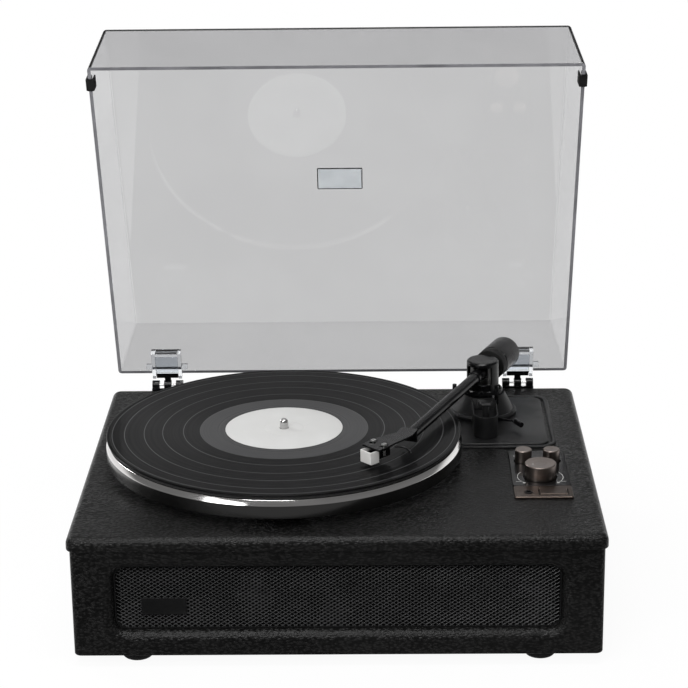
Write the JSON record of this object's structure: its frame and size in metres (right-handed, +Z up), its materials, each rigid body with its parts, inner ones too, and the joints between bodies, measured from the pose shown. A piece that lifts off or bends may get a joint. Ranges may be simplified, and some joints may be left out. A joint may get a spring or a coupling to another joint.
{
  "type": "record player",
  "caption": "Belt-drive record player with a wrapped cabinet, built-in speakers, an open clear dust cover, a tonearm with cueing lift, and a knob panel.",
  "frame": {"origin": "middle of the footprint of the whole object, cover open, on the plane that the feet stand on", "axes": "+Z up, -Y out of the front with the speaker grille, +X to the right seen from the front"},
  "size_m": [0.428, 0.4196, 0.4624],
  "materials": {
    "wrapped_board": "black textured vinyl wrap over fibreboard",
    "fibreboard": "dark painted fibreboard",
    "black_rubber": "matt black rubber",
    "black_mesh": "fine black expanded mesh",
    "matte_black": "matt black",
    "black_metal": "satin black",
    "gloss_black": "glossy black",
    "vinyl": "black vinyl with fine grooves",
    "label_paper": "off-white paper, bare",
    "felt": "black felt",
    "aluminium": "turned aluminium",
    "steel": "satin steel",
    "brass": "turned brass",
    "bronze": "dark bronze anodised, satin",
    "white_plastic": "white plastic, bare",
    "circuit_board": "green circuit board",
    "smoke_clear": "clear acrylic with a light smoke tint",
    "clear_plastic": "clear plastic",
    "pale_plastic": "pale grey, bare"
  },
  "bodies": {
    "base": {"arm_housing": "black_metal", "badge_plate": "gloss_black", "base_panel": "fibreboard", "board_trim": "matte_black", "cabinet_body": "wrapped_board", "control_board": "circuit_board", "drive_belt": "black_rubber", "foot_front_left": "black_rubber", "foot_front_right": "black_rubber", "foot_rear_left": "black_rubber", "foot_rear_right": "black_rubber", "hinge_bracket_left": "gloss_black", "hinge_bracket_right": "gloss_black", "hinge_pin_left": "steel", "hinge_pin_right": "steel", "jack_socket": "steel", "motor": "steel", "panel_front": "bronze", "panel_rear": "gloss_black", "platter_bearing": "brass", "rear_panel": "gloss_black", "rest_clip": "gloss_black", "speaker_grille": "black_mesh", "speaker_left": "matte_black", "speaker_right": "matte_black", "tonearm_base": "black_metal", "tonearm_board": "matte_black", "top_slab": "wrapped_board"},
    "cover": {"dust_cover": "smoke_clear", "hinge_pocket_left": "clear_plastic", "hinge_pocket_right": "clear_plastic", "hinge_tongue_left": "gloss_black", "hinge_tongue_right": "gloss_black", "bumper_left": "black_rubber", "bumper_right": "black_rubber", "lid_badge": "pale_plastic"},
    "platter": {"platter": "aluminium", "spindle": "steel", "slip_mat": "felt", "record": "vinyl", "record_label": "label_paper"},
    "pulley": {"motor_pulley": "brass"},
    "arm_swing": {"arm_yoke": "steel", "cross_pin": "steel"},
    "arm_lift": {"arm_tube": "black_metal", "headshell": "black_metal", "finger_lift": "black_metal", "cartridge_body": "gloss_black", "cartridge_cap": "white_plastic", "stylus": "steel", "headshell_screw_left": "steel", "headshell_screw_right": "steel"},
    "weight": {"counterweight": "black_metal", "counterweight_ring": "black_rubber"},
    "cue_lever": {"cue_lever": "gloss_black"},
    "cue_platform": {"cue_platform": "gloss_black"},
    "volume": {"volume_knob": "bronze"},
    "left_knob": {"knob_left": "bronze"},
    "right_knob": {"knob_right": "bronze"},
    "button": {"push_button": "bronze"}
  },
  "joints": [
    {"name": "cover_hinge", "type": "hinge", "parent": "base", "child": "cover", "pos_m": [0, 0.14743, 0.1149], "axis": [1, 0, 0], "range_deg": [0, 69.3]},
    {"name": "platter_spin", "type": "hinge", "parent": "base", "child": "platter", "pos_m": [-0.0471, -0.03837, 0.1134], "axis": [0, 0, -1], "continuous": true},
    {"name": "pulley_spin", "type": "hinge", "parent": "base", "child": "pulley", "pos_m": [-0.13195, 0.04649, 0.1134], "axis": [0, 0, -1], "continuous": true},
    {"name": "arm_swing", "type": "hinge", "parent": "base", "child": "arm_swing", "pos_m": [0.1273, 0.06883, 0.1134], "axis": [0, 0, 1], "range_deg": [-16.5, 23.85]},
    {"name": "arm_lift", "type": "hinge", "parent": "arm_swing", "child": "arm_lift", "pos_m": [0.1273, 0.06883, 0.1538], "axis": [-0.9146, 0.4043, 0], "range_deg": [0, 2.5]},
    {"name": "weight_turn", "type": "hinge", "parent": "arm_lift", "child": "weight", "pos_m": [0.1273, 0.06883, 0.1538], "axis": [0.4043, 0.9145, 0.0166], "range_deg": [-180, 180]},
    {"name": "cue_lever_turn", "type": "hinge", "parent": "base", "child": "cue_lever", "pos_m": [0.1395, 0.03363, 0.1214], "axis": [-0.9091, 0.4167, 0], "range_deg": [0, 55]},
    {"name": "cue_platform_rise", "type": "slide", "parent": "base", "child": "cue_platform", "axis": [0, 0, 1], "range_m": [0, 0.0055]},
    {"name": "volume_turn", "type": "hinge", "parent": "base", "child": "volume", "pos_m": [0.1681, -0.08957, 0.1134], "axis": [0, 0, -1], "range_deg": [0, 280]},
    {"name": "left_knob_turn", "type": "hinge", "parent": "base", "child": "left_knob", "pos_m": [0.1562, -0.05337, 0.1134], "axis": [0, 0, -1], "range_deg": [-135, 135]},
    {"name": "right_knob_turn", "type": "hinge", "parent": "base", "child": "right_knob", "pos_m": [0.1799, -0.05337, 0.1134], "axis": [0, 0, -1], "range_deg": [-135, 135]},
    {"name": "button_push", "type": "slide", "parent": "base", "child": "button", "axis": [0, 0, -1], "range_m": [0, 0.0008], "stiffness_N_per_m": 400}
  ],
  "couplings": [
    {"joint": "pulley_spin", "follows": "platter_spin", "ratio": 11},
    {"joint": "cue_platform_rise", "follows": "arm_lift", "m_per_rad": 0.12605},
    {"joint": "cue_lever_turn", "follows": "arm_lift", "ratio": 22}
  ]
}
